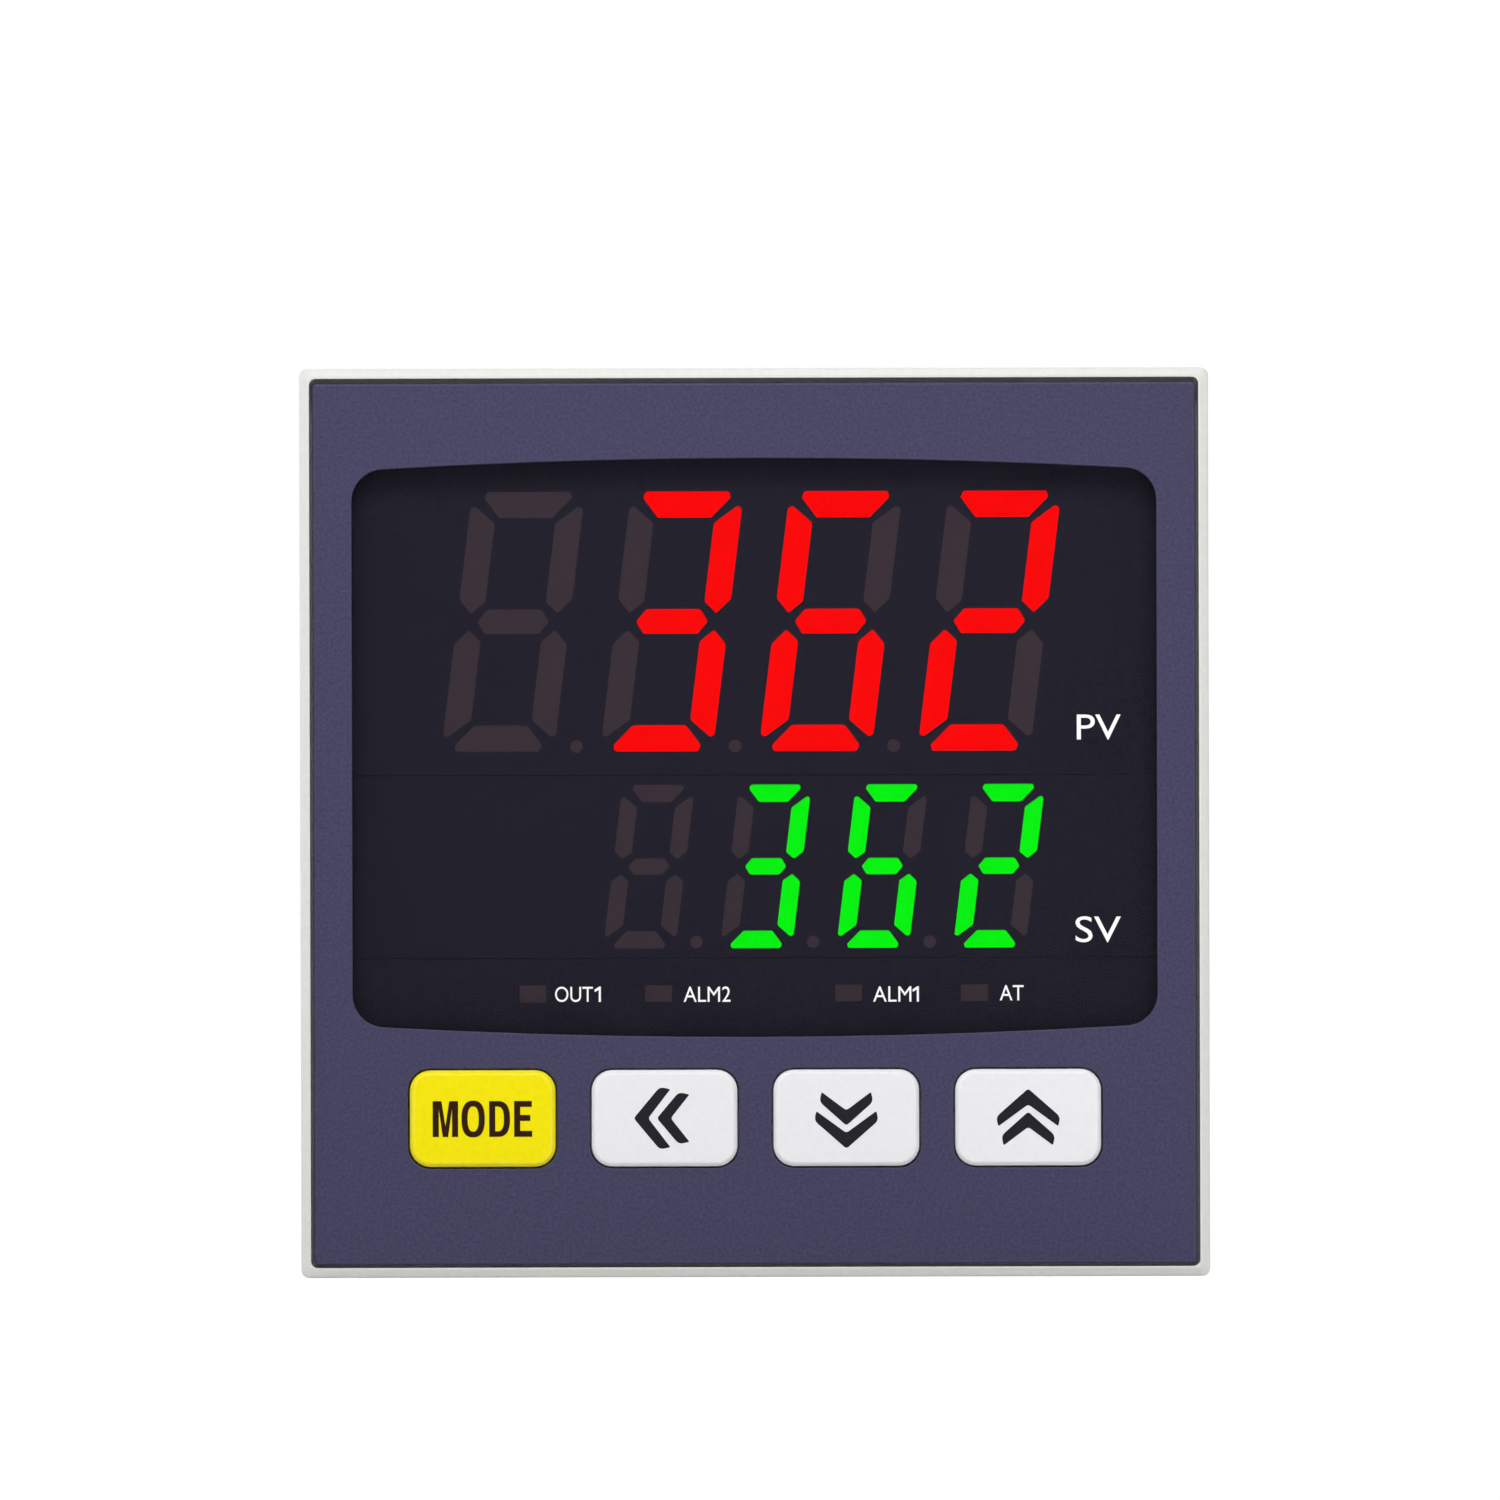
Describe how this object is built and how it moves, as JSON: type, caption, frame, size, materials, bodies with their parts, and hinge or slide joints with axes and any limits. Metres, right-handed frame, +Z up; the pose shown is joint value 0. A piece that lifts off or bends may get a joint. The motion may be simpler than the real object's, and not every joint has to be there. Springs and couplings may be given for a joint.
{
  "type": "pid temperature controller",
  "caption": "Square panel-mount temperature controller with two seven-segment displays, four push keys, rear screw terminals and slide-on panel clamps.",
  "frame": {"origin": "centre of the panel cut-out, on the plane where the back of the bezel meets the panel", "axes": "+Y points into the panel, from the front towards the terminals; +X is to the right seen from the front; +Z is up"},
  "size_m": [0.096, 0.0705, 0.096],
  "materials": {
    "bezel_grey": "satin light grey moulding",
    "plate_blue": "fine-grained dark blue-grey moulding",
    "smoked_lens": "smoked clear plastic",
    "key_yellow": "satin yellow moulding",
    "key_white": "satin white moulding",
    "module_black": "matt black display case",
    "segment_red": "lit red light guide",
    "segment_green": "lit green light guide",
    "segment_dark": "unlit light guide",
    "housing_black": "spark-eroded black moulding",
    "terminal_black": "smooth black moulding",
    "nickel_steel": "nickel-plated steel",
    "contact_brass": "tinned brass",
    "board_green": "solder-masked glass laminate",
    "part_black": "moulded component case",
    "part_white": "natural nylon",
    "ferrite": "sintered ferrite",
    "winding_copper": "enamelled copper wire under tape",
    "can_blue": "sleeved aluminium can"
  },
  "bodies": {
    "controller": {"front_bezel": "bezel_grey", "face_plate": "plate_blue", "display_window": "smoked_lens", "switch_bodies": "part_black", "pv_lit_segments": "segment_red", "pv_dark_segments": "segment_dark", "pv_display_case": "module_black", "sv_lit_segments": "segment_green", "sv_dark_segments": "segment_dark", "sv_display_case": "module_black", "indicator_holder": "module_black", "indicator_lenses": "segment_dark", "display_board": "board_green", "control_chip": "part_black", "board_sockets": "part_white", "power_board": "board_green", "output_board": "board_green", "transformer_core": "ferrite", "transformer_bobbin": "part_black", "transformer_winding": "winding_copper", "filter_capacitors": "can_blue", "output_relays": "part_black", "rear_housing": "housing_black", "terminal_block_right": "terminal_black", "terminal_block_left": "terminal_black", "terminal_contacts": "contact_brass", "terminal_washers": "nickel_steel", "terminal_screws": "nickel_steel"},
    "mode_button": {"mode_key": "key_yellow", "mode_plunger": "part_black"},
    "shift_button": {"shift_key": "key_white", "shift_plunger": "part_black"},
    "down_button": {"down_key": "key_white", "down_plunger": "part_black"},
    "up_button": {"up_key": "key_white", "up_plunger": "part_black"},
    "right_clamp": {"clamp_right": "housing_black"},
    "left_clamp": {"clamp_left": "housing_black"}
  },
  "joints": [
    {"name": "mode_press", "type": "slide", "parent": "controller", "child": "mode_button", "axis": [0, 1, 0], "range_m": [0, 0.0005], "stiffness_N_per_m": 800, "springref_m": -0.0005},
    {"name": "shift_press", "type": "slide", "parent": "controller", "child": "shift_button", "axis": [0, 1, 0], "range_m": [0, 0.0005], "stiffness_N_per_m": 800, "springref_m": -0.0005},
    {"name": "down_press", "type": "slide", "parent": "controller", "child": "down_button", "axis": [0, 1, 0], "range_m": [0, 0.0005], "stiffness_N_per_m": 800, "springref_m": -0.0005},
    {"name": "up_press", "type": "slide", "parent": "controller", "child": "up_button", "axis": [0, 1, 0], "range_m": [0, 0.0005], "stiffness_N_per_m": 800, "springref_m": -0.0005},
    {"name": "right_clamp_slide", "type": "slide", "parent": "controller", "child": "right_clamp", "axis": [0, 1, 0], "range_m": [-0.007, 0.018]},
    {"name": "left_clamp_slide", "type": "slide", "parent": "controller", "child": "left_clamp", "axis": [0, 1, 0], "range_m": [-0.007, 0.018]}
  ]
}
